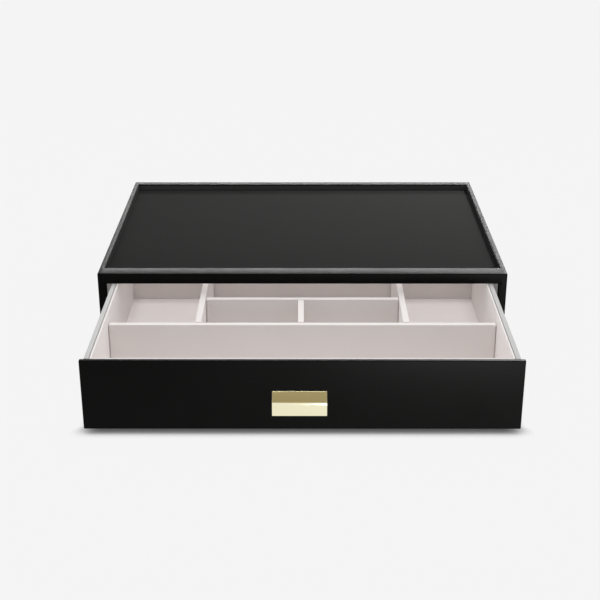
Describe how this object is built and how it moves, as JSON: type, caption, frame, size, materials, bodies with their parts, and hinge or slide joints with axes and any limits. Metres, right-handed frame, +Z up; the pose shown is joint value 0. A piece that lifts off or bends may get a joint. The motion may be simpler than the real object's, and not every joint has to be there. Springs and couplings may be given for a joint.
{
  "type": "jewellery drawer box",
  "caption": "Low black leatherette-covered box with a rim round its sunken top and a velvet-lined, divided drawer with a small folded gold pull.",
  "frame": {"origin": "centre of the case's footprint, on the surface that the box stands on", "axes": "+Z up, -Y out of the front in the drawer's opening direction, +X to the right of someone facing the drawer"},
  "size_m": [0.365, 0.429, 0.077],
  "materials": {
    "black_leatherette": "black leatherette, fine grain, semi-matte",
    "matte_leatherette": "black leatherette, matte",
    "pale_velvet": "short pale grey-beige velvet on card",
    "felt": "black felt",
    "raw_board": "fibreboard, hidden",
    "pale_board": "fibreboard covered with pale grey-beige velvet paper",
    "gold_metal": "bright gold plate",
    "steel": "zinc-plated"
  },
  "bodies": {
    "case": {"base_plinth": "felt", "left_wall_board": "raw_board", "left_wall_wrap": "black_leatherette", "right_wall_board": "raw_board", "right_wall_wrap": "black_leatherette", "left_liner_board": "raw_board", "right_liner_board": "raw_board", "left_front_stile": "black_leatherette", "right_front_stile": "black_leatherette", "back_wall_board": "raw_board", "back_wall_wrap": "black_leatherette", "front_rail_board": "raw_board", "front_rail_wrap": "black_leatherette", "top_panel_board": "raw_board", "top_panel_cover": "matte_leatherette", "bottom_board": "raw_board", "bottom_cover": "matte_leatherette", "left_case_velvet": "pale_velvet", "right_case_velvet": "pale_velvet", "back_case_velvet": "pale_velvet", "floor_case_velvet": "pale_velvet", "ceiling_case_velvet": "pale_velvet"},
    "drawer": {"drawer_front_board": "raw_board", "drawer_front_wrap": "black_leatherette", "drawer_left_board": "pale_board", "drawer_right_board": "pale_board", "drawer_back_board": "pale_board", "drawer_bottom_board": "pale_board", "left_lining_card": "pale_velvet", "right_lining_card": "pale_velvet", "front_lining_card": "pale_velvet", "back_lining_card": "pale_velvet", "floor_lining_card": "pale_velvet", "long_divider": "pale_velvet", "left_partition": "pale_velvet", "right_partition": "pale_velvet", "cross_divider": "pale_velvet", "centre_divider": "pale_velvet", "drawer_pull": "gold_metal", "pull_screws": "steel"}
  },
  "joints": [
    {"name": "drawer_slide", "type": "slide", "parent": "case", "child": "drawer", "axis": [0, -1, 0], "range_m": [-0.152, 0.038]}
  ]
}
